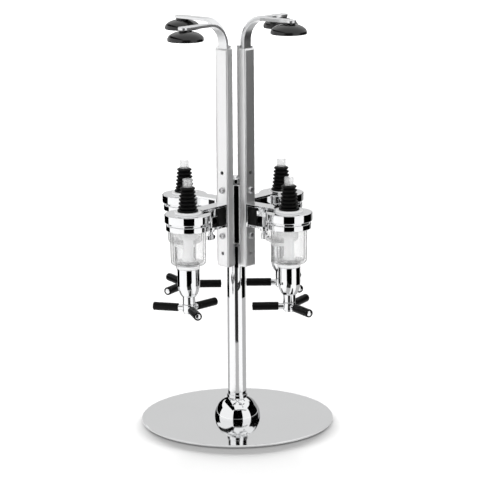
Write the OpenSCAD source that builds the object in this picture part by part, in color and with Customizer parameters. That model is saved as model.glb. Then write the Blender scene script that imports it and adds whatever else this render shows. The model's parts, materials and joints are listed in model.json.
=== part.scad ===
// Rotary drink dispenser: a head that turns on a post, with a bottle arm and a measuring valve per station.

/* [Base] */
// Diameter of the base plate
base_d = 230; // [200:1:280]
// Thickness of the base plate
base_t = 3; // [2.5:0.1:6]
// Thickness of the non-slip pad
pad_t = 1; // [0.6:0.1:3]
// How far the pad stays inside the edge of the plate
pad_inset = 14; // [6:1:30]
// Outer radius of the half-ball cover
dome_r = 27.4; // [20:0.1:36]
// Wall of the half-ball cover
dome_wall = 1.2; // [0.8:0.1:2]
// Height of the collar on top of the half-ball cover
dome_collar_h = 4; // [2:0.5:10]
// Thread diameter of the bolt under the post
base_bolt_d = 6; // [5:0.5:8]
// How far that bolt reaches into the post
base_bolt_len = 14; // [10:1:18]
// Straight land above the cone of that bolt
base_bolt_land = 0.5; // [0.2:0.1:1]

/* [Post] */
// Outer diameter of the pole
pole_d = 22; // [20:0.5:26]
// Wall of the pole
pole_wall = 1.5; // [1:0.1:3]
// Height of the tapped plug in the foot of the pole
pole_plug_h = 20; // [19:1:40]
// Diameter of the spindle
spindle_d = 12; // [8:0.5:13]
// Depth of the spindle in the pole
spindle_depth = 40; // [20:1:80]
// Thickness of the flange on the spindle
spindle_flange_t = 3; // [2:0.5:6]
// Thickness of the thrust washer
washer_t = 1; // [0.6:0.1:3]
// Diameter of the domed nut
nut_d = 19; // [16:0.5:22]
// Height of the straight part of the domed nut
nut_skirt_h = 4.5; // [3:0.5:8]
// Height of the dome of the nut
nut_dome_h = 4; // [2:0.5:6]

/* [Hub] */
// Height of the middle of the head above the table
head_z = 257; // [230:1:300]
// Height of the hub
hub_h = 70; // [64:1:90]
// How far the middle of the hub lies below the middle of the head
hub_drop = 2; // [0:0.5:4]
// Width of the hub across its flats
hub_w = 27; // [25:0.5:32]
// Wall of the hub bushes
bush_wall = 2; // [1:0.5:3]
// Length of each hub bush
bush_len = 14; // [8:1:20]

/* [Rails] */
// Width of a rail
rail_w = 17; // [16:0.5:20]
// Depth of a rail
rail_d = 10; // [9:0.5:13]
// Thickness of the outer web of a rail
rail_web = 3; // [2:0.1:4]
// Thickness of the side walls of a rail
rail_side = 2; // [1.5:0.1:2.5]
// Width of the slot between the lips
rail_slot = 8; // [7:0.1:9]
// Height of a rail above the middle of the head
rail_up = 193; // [170:1:240]
// Length of a rail below the middle of the head
rail_down = 64; // [52:1:80]
// Distance of the plain holes in a rail from the middle of the head
rail_hole_z = 48; // [40:1:50]
// Diameter of the plain holes in a rail
rail_hole_d = 4.4; // [3:0.1:6]

/* [Screws] */
// Shank diameter of the head screws
screw_d = 4; // [3:0.5:4.5]
// Head diameter of the head screws
screw_head_d = 7.6; // [6:0.1:8]
// Head height of the head screws
screw_head_h = 2.4; // [1.6:0.1:3]
// Length of the cross recess in a head screw
recess_l = 4.6; // [3:0.1:5.5]
// Width of the cross recess in a head screw
recess_w = 1; // [0.6:0.1:1.4]
// Length of a head screw under its head
screw_len = 12; // [10:0.5:13]
// Distance of the rail screws from the middle of the head
screw_z = 27.2; // [24:0.1:30]

/* [Bottle arms] */
// Thickness of the arm strip
arm_t = 3.5; // [2.5:0.1:4.2]
// Height of the foot of the bend above the rail at the lowest setting
arm_clear = 2.3; // [1:0.1:20]
// Outer radius of the bend in an arm
arm_bend_r = 29; // [16:0.5:30]
// How far the tip of an arm reaches past the bottle axis
arm_tip = 9.5; // [8:0.5:24]
// Height of the friction shoe
shoe_h = 26; // [18:1:40]
// Width of the tang that holds the shoe on the strip
tang_w = 7; // [4:0.5:9]
// Length of that tang
tang_h = 10; // [6:1:14]
// How far each arm is drawn up from its lowest setting
arm_lift = [6.5, 0, 0, 0];

/* [Bottle cups] */
// Diameter of a bottle cup
cup_d = 41.5; // [36:0.5:52]
// Height of a bottle cup
cup_h = 12; // [8:0.5:14]
// Height of the straight rim of a bottle cup
cup_rim_h = 2.5; // [2:0.5:5]
// Width of the rim round the hollow of a bottle cup
cup_rim_w = 3; // [2:0.5:5]
// Depth of the hollow under a bottle cup
cup_hollow = 3; // [1:0.1:3.5]
// Diameter of the stem of a bottle cup
cup_stem_d = 15; // [10:0.5:20]
// Height of the stem of a bottle cup
cup_stem_h = 0.8; // [0.5:0.1:8]
// Radius of the lower edge of a bottle cup
cup_edge_r = 1; // [0.5:0.1:1.5]
// Diameter of the pin that holds a cup to its arm
cup_pin_d = 5; // [3:0.5:7]
// Length of that pin
cup_pin_h = 2; // [1:0.1:2.2]

/* [Stations] */
// Distance of each bottle axis from the post
station_r = 82.5; // [80:0.5:90]
// Height of the top of the optic caps above the middle of the head
cap_up = 9.5; // [4:0.5:12]

/* [Brackets] */
// Thickness of a bracket
bracket_t = 2.5; // [2:0.1:3]
// Thickness of the lower jaw of a bracket
jaw_t = 3; // [2.5:0.1:4]
// Height between the jaws of a bracket
jaw_gap = 22; // [21.5:0.5:23]
// Width of the rounded end of the lower jaw
jaw_end_d = 14; // [11:0.5:16]
// Width of the tongue on an optic cap
tongue_w = 12; // [8:0.5:15]
// Radial depth of the black block inside a bracket
block_d = 11.7; // [10:0.1:12]
// Distance of the wing screw from the black block
wing_off = 6.3; // [5:0.1:8]
// Thread diameter of a wing screw
wing_screw_d = 5; // [4:0.5:6]
// Diameter of the threaded boss under the lower jaw
wing_boss_d = 9.5; // [8:0.5:12]
// Height of that boss
wing_boss_h = 2.7; // [1:0.1:4]
// Free length of a wing screw between the boss and its wings
wing_neck = 3.3; // [2:0.1:8]
// Height of the wings
wing_h = 6.5; // [5:0.5:10]
// Width across the wings
wing_w = 13; // [10:0.5:15]
// Radius of the lobes of the wings
wing_lobe_r = 2.7; // [2:0.1:3]
// Diameter of the middle of the wings
wing_hub_d = 6.6; // [6.2:0.1:8]
// Thickness of the wings
wing_t = 2.4; // [1.5:0.1:4]
// Part of a lobe's height that the web between the lobes covers
wing_web = 0.6; // [0.3:0.05:0.9]

/* [Corks] */
// Diameter of the foot of a cork
cork_foot_d = 24; // [22:0.5:30]
// Thickness of the foot of a cork
cork_foot_h = 2.6; // [1.5:0.1:4]
// Height of a cork above its foot
cork_h = 26.4; // [20:0.1:34]
// Number of fins on a cork
cork_fins = 6; // [5:1:8]
// Diameter of the lowest fin
cork_fin_low_d = 22; // [20:0.1:24]
// Diameter of the highest fin
cork_fin_top_d = 17.6; // [17:0.1:22]
// How far the fins stand out of a cork
cork_fin_out = 2.2; // [1:0.1:3]
// Part of a fin's pitch where it widens
fin_rise = 0.5; // [0.2:0.05:0.6]
// Part of a fin's pitch where it is widest
fin_rim = 0.22; // [0.1:0.02:0.3]
// Outer diameter of an inlet tube
inlet_d = 11; // [8:0.1:11.5]
// Wall of an inlet tube
inlet_wall = 1.2; // [0.8:0.1:1.6]
// Thickness of the fitting under an inlet tube
inlet_seat = 2; // [1:0.1:4]
// How far an inlet tube stands out of its cork
inlet_out = 9.2; // [4:0.1:20]

/* [Optic cap] */
// Diameter of an optic cap
cap_d = 54; // [50:0.5:56]
// Height of the rim of an optic cap
cap_h = 10; // [8:0.5:10.5]
// Diameter of the white collar on an optic cap
cap_collar_d = 31.6; // [28:0.1:36]
// Height of the white collar
cap_collar_h = 2.3; // [1:0.1:4]
// Diameter of the spigot under an optic cap
cap_spigot_d = 46.4; // [45:0.1:47.5]
// Height of the groove between the cap and the collar ring
cap_groove_h = 2.5; // [1:0.1:4]
// Outer diameter of the inlet skirt inside the chamber
skirt_d = 22; // [18:0.5:26]
// Bore of the inlet skirt
skirt_bore = 13; // [12.5:0.5:16]
// Length of the inlet skirt
skirt_h = 15; // [10:0.5:18]
// Width of the windows in the inlet skirt
skirt_window_w = 6.5; // [3:0.5:9]
// Height of the windows in the inlet skirt
skirt_window_h = 4; // [2:0.5:7]
// Outer diameter of a collar ring
ring_d = 51; // [49:0.5:54]
// Height of a collar ring
ring_h = 6.7; // [6:0.1:9]
// Thickness of the inner lip of a collar ring
ring_lip_t = 2; // [1.5:0.1:2.5]

/* [Chamber] */
// Outer diameter of a chamber
chamber_d = 42; // [40:0.5:43]
// How much narrower a chamber is at its foot
chamber_taper = 1.2; // [0:0.1:3]
// Height of a chamber below its collar ring
chamber_h = 40.6; // [34:0.1:50]
// Wall of a chamber
chamber_wall = 2.4; // [1.5:0.1:3]
// Thickness of the floor of a chamber
chamber_floor_t = 3; // [2:0.1:4]
// Radius of the lower edge of a chamber
chamber_edge_r = 3.5; // [3.2:0.1:6]
// Thickness of the flange on top of a chamber
chamber_flange_t = 3; // [2:0.1:3.5]
// Diameter of a neck ring
neck_d = 27; // [24:0.5:30]
// Height of a neck ring
neck_h = 4.7; // [4:0.1:10]

/* [Valve] */
// Diameter of a valve body
body_d = 26; // [24:0.5:30]
// Height of the straight part of a valve body
body_straight_h = 12; // [8:0.5:16]
// Height of the rounded part of a valve body
body_round_h = 21; // [18:0.5:26]
// Diameter of the lower end of a valve body
body_end_d = 17.4; // [17:0.1:19]
// Diameter of the spigot on top of a valve body
spigot_d = 18; // [16:0.5:20]
// Diameter of the throat through that spigot
throat_d = 8.5; // [8:0.1:10]
// Diameter of the plunger
plunger_d = 14.6; // [13:0.1:14.8]
// Thickness of the roof over the return spring
body_roof = 3; // [2:0.1:4]
// Wire diameter of the return spring
spring_wire = 1.1; // [0.8:0.1:1.3]
// Turns of the return spring
spring_turns = 4.5; // [3:0.5:5]
// Length that the return spring has to spare when the trigger is up
spring_spare = 0.95; // [0.5:0.05:2]
// Gap between the return spring and its bore
spring_side = 0.65; // [0.3:0.05:1]
// Diameter of the rod in the throat
rod_d = 7; // [6:0.1:7.2]
// Diameter of the seal on the rod
seal_d = 15; // [12:0.5:16]
// Thickness of the seal on the rod
seal_t = 3; // [2:0.1:4]
// Diameter of the column above the seal
column_d = 11.5; // [8:0.5:11.8]
// Gap that the column leaves under the inlet when the trigger is up
column_clear = 1.5; // [0.5:0.1:3]
// Bevel on top of the column
column_edge = 1; // [0.5:0.1:2]
// Diameter of the cross port above the outlet bore
port_d = 2; // [1:0.1:3]
// Diameter of the outlet bore
outlet_d = 4; // [3:0.1:4.4]

/* [Trigger] */
// Upward travel of a trigger
lift = 8; // [4:0.5:9]
// Gap that the trigger ring leaves under the valve body when it is up
lift_clear = 1.7; // [0.5:0.1:4]
// Diameter of the trigger ring
trigger_d = 15; // [14:0.5:16]
// Height of the trigger ring
trigger_h = 9.6; // [9:0.1:12]
// Diameter of the spout that the trigger ring turns on
spout_d = 9; // [8:0.1:9.5]
// Diameter of the lip at the end of the spout
spout_lip_d = 11.5; // [10.5:0.1:13]
// Height of that lip
spout_lip_h = 1.5; // [1:0.1:3]
// Diameter of the trigger rods
trigger_rod_d = 6.8; // [5:0.1:7]
// Reach of the trigger rods from the valve axis
trigger_reach = 43.5; // [34:0.5:46]
// How far a trigger rod shows past its sleeve
rod_show = 0.5; // [0:0.1:2]
// Distance of the sleeves from the valve axis
sleeve_start = 12.6; // [10:0.1:16]
// Outer diameter of the sleeves
sleeve_d = 9.6; // [9:0.1:11]
// Angle of each trigger, from the direction away from the post
trigger_angle = [103, 12, 102, 57];

/* [Edges] */
// Bevel on the edges of turned parts
turned_edge = 0.8; // [0.3:0.1:1]

/* [Fits] */
// Gap round a shaft that turns or slides in a bore
run_fit = 0.05; // [0.02:0.01:0.1]
// Gap between flat faces that move past each other
slide_fit = 0.2; // [0.1:0.05:0.3]
// Gap between an arm strip and its rail
arm_fit = 0.3; // [0.2:0.05:0.4]
// Gap between a hub rib and its rail
rib_fit = 0.2; // [0.1:0.05:0.3]
// Gap between a friction shoe and its rail
shoe_fit = 0.12; // [0.1:0.01:0.2]
// Gap round a screw in its clearance hole
hole_fit = 0.2; // [0.1:0.05:0.3]

/* [Hidden] */
$fn = 64;
past = 1;
arc_steps = 12;
edge_steps = 5;
stations = 4;
first_station = -45;
trigger_rods = 3;
plate_top = pad_t + base_t;
bolt_cone_h = base_t - base_bolt_land;
hub_bottom = head_z - hub_drop - hub_h / 2;
hub_top = hub_bottom + hub_h;
pole_top = hub_bottom - washer_t - spindle_flange_t;
nut_thread = nut_skirt_h;
bush_d = spindle_d + 2 * run_fit + 2 * bush_wall;
rail_in = hub_w / 2;
rail_out = rail_in + rail_d;
channel_w = rail_w - 2 * rail_side;
channel_d = arm_t + 2 * arm_fit;
channel_in = rail_out - rail_web - channel_d;
rail_lip = channel_in - rail_in;
rail_top = head_z + rail_up;
arm_w = channel_w - 2 * arm_fit;
arm_mid = channel_in + channel_d / 2;
bend_mid_r = arm_bend_r - arm_t / 2;
arm_top = rail_top + arm_clear + arm_bend_r;
arm_under = arm_top - arm_t;
shoe_bottom = hub_top + slide_fit;
shoe_top = shoe_bottom + shoe_h;
cap_top = head_z + cap_up;
cap_bottom = cap_top - cap_h;
ring_top = cap_bottom - cap_groove_h;
ring_bottom = ring_top - ring_h;
flange_bottom = ring_bottom + ring_lip_t;
flange_top = flange_bottom + chamber_flange_t;
skirt_bottom = flange_top - skirt_h;
chamber_bottom = ring_bottom - chamber_h;
body_top = chamber_bottom - neck_h;
body_bottom = body_top - body_straight_h - body_round_h;
spigot_top = chamber_bottom + chamber_floor_t;
spring_h = lift + (spring_turns + 1) * spring_wire + spring_spare;
spring_top = body_top - body_roof;
plunger_top = spring_top - spring_h;
plunger_bottom = body_bottom - lift - lift_clear + slide_fit;
trigger_top = plunger_bottom - slide_fit;
trigger_mid = trigger_top - trigger_h / 2;
spout_lip_top = trigger_top - trigger_h - slide_fit;
spout_bottom = spout_lip_top - spout_lip_h;
column_top = flange_top - column_clear - lift;
cork_z = cap_top + cap_collar_h;
cork_top = cork_z + cork_foot_h + cork_h;
inlet_bottom = cap_bottom + inlet_seat;
jaw_top = cap_top - jaw_gap;
jaw_bottom = jaw_top - jaw_t;
block_out = rail_out + bracket_t + block_d;
bracket_screw_z = (jaw_top + cap_bottom) / 2;
wing_r = block_out + wing_off;
wing_top = jaw_bottom - wing_boss_h - wing_neck;

base_nodes = ["base_pad", "base_plate", "base_bolt", "base_dome", "pole"];
post_nodes = ["spindle", "thrust_washer", "cap_nut"];
head_nodes = ["hub", "hub_bushes", "head_screws", "jaw_blocks"];
cap_nodes = ["corks", "inlet_tubes", "inlet_seats", "optic_caps", "collar_rings"];
measure_nodes = ["chambers", "neck_rings", "valve_bodies"];
frame_kinds = ["rail", "bracket", "arm", "shoe", "cup"];
valve_kinds = ["wing_screw", "spring", "valve_rod", "trigger", "sleeves"];
station_nodes = [for (kind = concat(frame_kinds, valve_kinds)) for (k = [1:stations]) str(kind, "_", k)];

// Points on an arc round a centre, from one angle to another
function arc(centre, r, from, to, steps = arc_steps) =
    [for (i = [0:steps]) let (a = from + (to - from) * i / steps) centre + r * [cos(a), sin(a)]];

// Points on an ellipse round a centre, with half axes in x and y
function ellipse(centre, half, from, to, steps = arc_steps) =
    [for (i = [0:steps]) let (a = from + (to - from) * i / steps)
        centre + [half[0] * cos(a), half[1] * sin(a)]];

// Half section of a turned ring with bevelled outer edges
function turned(inner_r, outer_r, low, high, bevel = turned_edge) =
    [[inner_r, low], [outer_r - bevel, low], [outer_r, low + bevel], [outer_r, high - bevel],
        [outer_r - bevel, high], [inner_r, high]];

// A station's own frame: +X points away from the post
module at_station(k) rotate([0, 0, first_station + (k - 1) * 360 / stations]) children();
module at_optic(k) at_station(k) translate([station_r, 0, 0]) children();
module each_optic() for (k = [1:stations]) at_optic(k) children();

// A tube that stands on a height
module ring(z, outer_d, inner_d, h) {
    translate([0, 0, z]) difference() {
        cylinder(d = outer_d, h = h);
        translate([0, 0, -past]) cylinder(d = inner_d, h = h + 2 * past);
    }
}

module base_pad() {
    color("dimgray") cylinder(d = base_d - 2 * pad_inset, h = pad_t);
}

module base_plate() {
    edge = [base_d / 2 - base_t / 2, pad_t + base_t / 2];
    color("lightsteelblue") difference() {
        rotate_extrude() polygon(concat([[0, pad_t]], arc(edge, base_t / 2, -90, 90), [[0, plate_top]]));
        base_bolt_shape();
    }
}

// The countersunk bolt, also used to cut its own hole
module base_bolt_shape() {
    head_d = base_bolt_d + 2 * bolt_cone_h;
    translate([0, 0, pad_t]) {
        cylinder(d1 = head_d, d2 = base_bolt_d, h = bolt_cone_h);
        cylinder(d = base_bolt_d, h = base_t + base_bolt_len);
    }
}

module base_bolt() {
    color("gray") base_bolt_shape();
}

module base_dome() {
    inner_r = pole_d / 2 + run_fit;
    collar_r = inner_r + dome_wall;
    shell_r = dome_r - dome_wall;
    collar_top = plate_top + sqrt(dome_r ^ 2 - collar_r ^ 2) + dome_collar_h;
    foot = [0, plate_top];
    outer = arc(foot, dome_r, 0, acos(collar_r / dome_r));
    inner = arc(foot, shell_r, acos(inner_r / shell_r), 0);
    color("silver") rotate_extrude()
        polygon(concat(outer, [[collar_r, collar_top], [inner_r, collar_top]], inner));
}

module pole() {
    color("silver") difference() {
        translate([0, 0, plate_top]) cylinder(d = pole_d, h = pole_top - plate_top);
        translate([0, 0, plate_top + pole_plug_h]) cylinder(d = pole_d - 2 * pole_wall, h = pole_top);
        translate([0, 0, plate_top - past]) cylinder(d = base_bolt_d, h = base_bolt_len + past);
    }
}

module spindle() {
    color("silver") {
        translate([0, 0, pole_top - spindle_depth])
            cylinder(d = pole_d - 2 * pole_wall, h = spindle_depth);
        translate([0, 0, pole_top]) cylinder(d = pole_d, h = spindle_flange_t);
        translate([0, 0, pole_top])
            cylinder(d = spindle_d, h = hub_top + slide_fit + nut_thread - pole_top);
    }
}

module thrust_washer() {
    color("tan") ring(hub_bottom - washer_t, pole_d - 2 * turned_edge, spindle_d + 2 * run_fit, washer_t);
}

module cap_nut() {
    nut_bottom = hub_top + slide_fit;
    skirt_top = nut_bottom + nut_skirt_h;
    dome = ellipse([0, skirt_top], [nut_d / 2, nut_dome_h], 0, 90);
    color("silver") difference() {
        rotate_extrude() polygon(concat([[0, nut_bottom], [nut_d / 2, nut_bottom]], dome));
        translate([0, 0, nut_bottom - past]) cylinder(d = spindle_d, h = nut_thread + past);
    }
}

// Square block with its corners cut back to the width of the rails, and a rib for each rail
module hub() {
    flat = rail_w / 2;
    half = hub_w / 2;
    corners = [[half, -flat], [half, flat], [flat, half], [-flat, half]];
    rib_w = rail_slot - 2 * rib_fit;
    color("silver") difference() {
        translate([0, 0, hub_bottom]) union() {
            rotate([0, 0, first_station]) linear_extrude(hub_h)
                polygon(concat(corners, [for (p = corners) -p]));
            for (k = [1:stations]) at_station(k)
                translate([0, -rib_w / 2, 0]) cube([rail_out - rail_web, rib_w, hub_h]);
        }
        translate([0, 0, hub_bottom - past]) cylinder(d = bush_d, h = hub_h + 2 * past);
        head_screw_places() screw_shank(screw_d);
    }
}

module hub_bushes() {
    color("tan") for (z = [hub_bottom, hub_top - bush_len])
        ring(z, bush_d, spindle_d + 2 * run_fit, bush_len);
}

// Places a child at the seat of each head screw, with +X out of the head
module head_screw_places() {
    for (k = [1:stations]) at_station(k) {
        for (z = [head_z - screw_z, head_z + screw_z]) translate([rail_out, 0, z]) children();
        translate([rail_out + bracket_t, 0, bracket_screw_z]) children();
    }
}

module screw_shank(d) {
    rotate([0, -90, 0]) cylinder(d = d, h = screw_len);
}

module head_screws() {
    half_h = screw_head_h / 2;
    crown = ellipse([0, half_h], [screw_head_d / 2, half_h], 0, 90, edge_steps);
    color("silver") head_screw_places() {
        screw_shank(screw_d);
        rotate([0, 90, 0]) difference() {
            rotate_extrude() polygon(concat([[0, 0], [screw_head_d / 2, 0]], crown));
            for (a = [0, 90]) rotate([0, 0, a]) translate([0, 0, screw_head_h])
                cube([recess_l, recess_w, screw_head_h], center = true);
        }
    }
}

// Lipped channel with its open side on the hub
module rail(k) {
    web_x = rail_out - rail_web - arm_fit;
    hole_h = rail_web + 2 * arm_fit;
    color("gainsboro") at_station(k) difference() {
        translate([0, 0, head_z - rail_down]) linear_extrude(rail_down + rail_up) difference() {
            translate([rail_in, -rail_w / 2]) square([rail_d, rail_w]);
            translate([channel_in, -channel_w / 2]) square([channel_d, channel_w]);
            translate([rail_in - past, -rail_slot / 2]) square([rail_lip + 2 * past, rail_slot]);
        }
        for (z = [head_z - screw_z, bracket_screw_z, head_z + screw_z]) translate([web_x, 0, z])
            rotate([0, 90, 0]) cylinder(d = screw_d + 2 * hole_fit, h = hole_h);
        for (z = [head_z - rail_hole_z, head_z + rail_hole_z]) translate([web_x, 0, z])
            rotate([0, 90, 0]) cylinder(d = rail_hole_d, h = hole_h);
    }
}

// Strap that grips an optic: a back on the rail, a long top plate and a short lower jaw with a round end
module bracket(k) {
    plate_end = station_r - cap_collar_d / 2;
    color("silver") at_station(k) difference() {
        union() {
            translate([rail_out, -rail_w / 2, jaw_bottom])
                cube([bracket_t, rail_w, cap_top + bracket_t - jaw_bottom]);
            translate([rail_out, -rail_w / 2, cap_top]) cube([plate_end - rail_out, rail_w, bracket_t]);
            translate([0, 0, jaw_bottom]) linear_extrude(jaw_t) polygon(concat(
                [[rail_out, jaw_end_d / 2], [rail_out, -jaw_end_d / 2]],
                arc([wing_r, 0], jaw_end_d / 2, -90, 90)));
            translate([wing_r, 0, jaw_bottom - wing_boss_h])
                cylinder(d = wing_boss_d, h = wing_boss_h + past);
        }
        translate([station_r, 0, cap_top - past])
            cylinder(d = cap_collar_d + 2 * slide_fit, h = bracket_t + 2 * past);
        translate([wing_r, 0, jaw_bottom - wing_boss_h - past])
            cylinder(d = wing_screw_d + 2 * run_fit, h = wing_boss_h + jaw_t + 2 * past);
        translate([rail_out - past, 0, bracket_screw_z]) rotate([0, 90, 0])
            cylinder(d = screw_d + 2 * hole_fit, h = bracket_t + 2 * past);
    }
}

// Black blocks that fill the root of the brackets, open over the screw heads
module jaw_blocks() {
    block_w = rail_w - 2 * rail_side;
    color([0.06, 0.06, 0.06]) for (k = [1:stations]) at_station(k) difference() {
        translate([rail_out + bracket_t, -block_w / 2, jaw_top]) cube([block_d, block_w, jaw_gap]);
        translate([rail_out, 0, bracket_screw_z]) rotate([0, 90, 0])
            cylinder(d = screw_head_d + 2 * hole_fit, h = block_d + bracket_t + past);
    }
}

// Strip that rises out of the rail, bends outwards and ends round, with a tang for the shoe
module arm(k) {
    bend_x = arm_mid + bend_mid_r;
    bend_z = arm_top - arm_bend_r;
    tip_x = station_r + arm_tip - arm_w / 2;
    color("silver") at_station(k) translate([0, 0, arm_lift[k - 1]]) difference() {
        union() {
            translate([arm_mid - arm_t / 2, -arm_w / 2, shoe_top]) cube([arm_t, arm_w, bend_z - shoe_top]);
            translate([arm_mid - arm_t / 2, -tang_w / 2, shoe_top - tang_h]) cube([arm_t, tang_w, tang_h]);
            translate([bend_x, 0, bend_z]) rotate([90, 0, 180]) rotate_extrude(angle = 90)
                translate([arm_bend_r - arm_t, -arm_w / 2]) square([arm_t, arm_w]);
            translate([0, 0, arm_under]) linear_extrude(arm_t) polygon(concat(
                [[bend_x, arm_w / 2], [bend_x, -arm_w / 2]],
                arc([tip_x, 0], arm_w / 2, -90, 90)));
        }
        translate([station_r, 0, arm_under - past]) cylinder(d = cup_pin_d, h = cup_pin_h + past);
    }
}

// Nylon block under the strip, forked round its tang
module shoe(k) {
    shoe_w = channel_w - 2 * shoe_fit;
    shoe_d = channel_d - 2 * shoe_fit;
    color([0.08, 0.08, 0.08]) at_station(k) translate([arm_mid, 0, arm_lift[k - 1]]) difference() {
        translate([-shoe_d / 2, -shoe_w / 2, shoe_bottom]) cube([shoe_d, shoe_w, shoe_h]);
        translate([-arm_t / 2, -tang_w / 2, shoe_top - tang_h]) cube([arm_t, tang_w, tang_h + past]);
    }
}

// Mushroom pad under the end of an arm, hollow below
module cup(k) {
    rim_z = arm_under - cup_stem_h - cup_h;
    hollow_r = cup_d / 2 - cup_rim_w;
    crown_h = cup_h - cup_rim_h;
    stem_r = cup_stem_d / 2;
    crown = ellipse([0, rim_z + cup_rim_h], [cup_d / 2, crown_h], 0, acos(cup_stem_d / cup_d));
    hollow = [for (i = [0:arc_steps]) let (s = i / arc_steps)
        [hollow_r * s, rim_z + cup_hollow * (1 - s ^ 2)]];
    top = [[stem_r, arm_under], [cup_pin_d / 2, arm_under], [cup_pin_d / 2, arm_under + cup_pin_h],
        [0, arm_under + cup_pin_h]];
    rim = arc([cup_d / 2 - cup_edge_r, rim_z + cup_edge_r], cup_edge_r, -90, 0, edge_steps);
    color([0.05, 0.05, 0.05]) at_optic(k) translate([0, 0, arm_lift[k - 1]])
        rotate_extrude() polygon(concat(hollow, rim, crown, top));
}

// Finned stopper with a foot, a sloping crown and a bore for the inlet tube
module corks() {
    fins_z = cork_z + cork_foot_h;
    pitch = cork_h / cork_fins;
    step = (cork_fin_low_d - cork_fin_top_d) / 2 / (cork_fins - 1);
    fin_points = [for (i = [0:cork_fins - 1])
        let (r = cork_fin_low_d / 2 - step * i, z = fins_z + pitch * i)
        each [[r - cork_fin_out, z], [r, z + pitch * fin_rise], [r, z + pitch * (fin_rise + fin_rim)],
            [r - cork_fin_out, z + pitch]]];
    foot = turned(inlet_d / 2, cork_foot_d / 2, cork_z, fins_z);
    color([0.04, 0.04, 0.04]) each_optic() rotate_extrude()
        polygon(concat([for (i = [0:4]) foot[i]], fin_points, [[inlet_d / 2, cork_top]]));
}

module inlet_tubes() {
    color([0.9, 0.95, 1, 0.5]) each_optic()
        ring(inlet_bottom, inlet_d, inlet_d - 2 * inlet_wall, cork_top + inlet_out - inlet_bottom);
}

// Chromed cover with a spigot below and a tongue for the bracket
module optic_caps() {
    tongue_x = block_out - station_r;
    spigot = [[skirt_d / 2, flange_top], [cap_spigot_d / 2, flange_top]];
    rim = turned(cap_spigot_d / 2, cap_d / 2, cap_bottom, cap_top);
    color("silver") each_optic() {
        rotate_extrude() polygon(concat(spigot, [for (i = [0:4]) rim[i]], [[skirt_d / 2, cap_top]]));
        translate([tongue_x, -tongue_w / 2, cap_bottom])
            cube([-tongue_x - cap_spigot_d / 2, tongue_w, cap_h]);
    }
}

// White fitting through the cap: a collar under the cork and a windowed skirt below the inlet tube
module inlet_seats() {
    window_z = flange_top - skirt_window_h;
    inlet_bore = inlet_d - 2 * inlet_wall;
    color("whitesmoke") each_optic() difference() {
        union() {
            translate([0, 0, skirt_bottom]) cylinder(d = skirt_d, h = cap_top - skirt_bottom);
            translate([0, 0, cap_top]) cylinder(d = cap_collar_d, h = cap_collar_h);
        }
        translate([0, 0, inlet_bottom]) cylinder(d = inlet_d, h = cork_z);
        translate([0, 0, skirt_bottom - past]) cylinder(d = inlet_bore, h = cap_top - skirt_bottom);
        translate([0, 0, skirt_bottom - past]) cylinder(d = skirt_bore, h = skirt_h + past);
        translate([-skirt_d, -skirt_window_w / 2, window_z])
            cube([2 * skirt_d, skirt_window_w, skirt_window_h]);
    }
}

// Ring that draws the flange of the chamber up to the cap
module collar_rings() {
    lip = [[cap_spigot_d / 2, flange_bottom], [chamber_d / 2, flange_bottom], [chamber_d / 2, ring_bottom]];
    shell = turned(cap_spigot_d / 2, ring_d / 2, ring_bottom, ring_top);
    color("silver") each_optic() rotate_extrude() polygon(concat(lip, [for (i = [1:5]) shell[i]]));
}

// Clear measure with a flange on top and a round lower edge
module chambers() {
    foot_r = (chamber_d - chamber_taper) / 2;
    corner = [foot_r - chamber_edge_r, chamber_bottom + chamber_edge_r];
    inner_edge_r = chamber_edge_r - chamber_wall;
    inner_corner = [corner[0], spigot_top + inner_edge_r];
    outer = concat([[spigot_d / 2, chamber_bottom]], arc(corner, chamber_edge_r, -90, 0));
    top = [[chamber_d / 2, ring_bottom], [chamber_d / 2, flange_bottom], [cap_spigot_d / 2, flange_bottom],
        [cap_spigot_d / 2, flange_top], [chamber_d / 2 - chamber_wall, flange_top]];
    inner = concat(arc(inner_corner, inner_edge_r, 0, -90), [[spigot_d / 2, spigot_top]]);
    color([0.92, 0.95, 1, 0.4]) each_optic() rotate_extrude() polygon(concat(outer, top, inner));
}

module neck_rings() {
    color("whitesmoke") each_optic() rotate_extrude()
        polygon(turned(spigot_d / 2, neck_d / 2, body_top, chamber_bottom));
}

// Bullet-shaped valve housing with a spring bore, a throat and a spigot into the chamber
module valve_bodies() {
    round_top = body_bottom + body_round_h;
    end_angle = acos(body_end_d / body_d);
    round_half = [body_d / 2, body_round_h / sin(end_angle)];
    bore_r = plunger_d / 2 + run_fit;
    outer = ellipse([0, round_top], round_half, -end_angle, 0);
    top = [[body_d / 2, body_top - turned_edge], [body_d / 2 - turned_edge, body_top],
        [spigot_d / 2, body_top], [spigot_d / 2, spigot_top], [throat_d / 2, spigot_top],
        [throat_d / 2, spring_top]];
    color("silver") each_optic() rotate_extrude()
        polygon(concat(outer, top, [[bore_r, spring_top], [bore_r, body_bottom]]));
}

// Plunger with its spout below, and the rod, seal and column above
module valve_rod(k) {
    port_z = plunger_top + spring_h / 2;
    outline = [[0, spout_bottom], [spout_lip_d / 2, spout_bottom], [spout_lip_d / 2, spout_lip_top],
        [spout_d / 2, spout_lip_top], [spout_d / 2, plunger_bottom], [plunger_d / 2, plunger_bottom],
        [plunger_d / 2, plunger_top], [rod_d / 2, plunger_top], [rod_d / 2, spigot_top + slide_fit],
        [seal_d / 2, spigot_top + slide_fit], [seal_d / 2, spigot_top + slide_fit + seal_t],
        [column_d / 2, spigot_top + slide_fit + seal_t], [column_d / 2, column_top - column_edge],
        [column_d / 2 - column_edge, column_top], [0, column_top]];
    color("lightgray") at_optic(k) difference() {
        rotate_extrude() polygon(outline);
        translate([0, 0, spout_bottom - past]) cylinder(d = outlet_d, h = port_z - spout_bottom + past);
        translate([0, 0, port_z]) rotate([90, 0, 0])
            cylinder(d = port_d, h = 2 * rod_d, center = true);
    }
}

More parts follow.
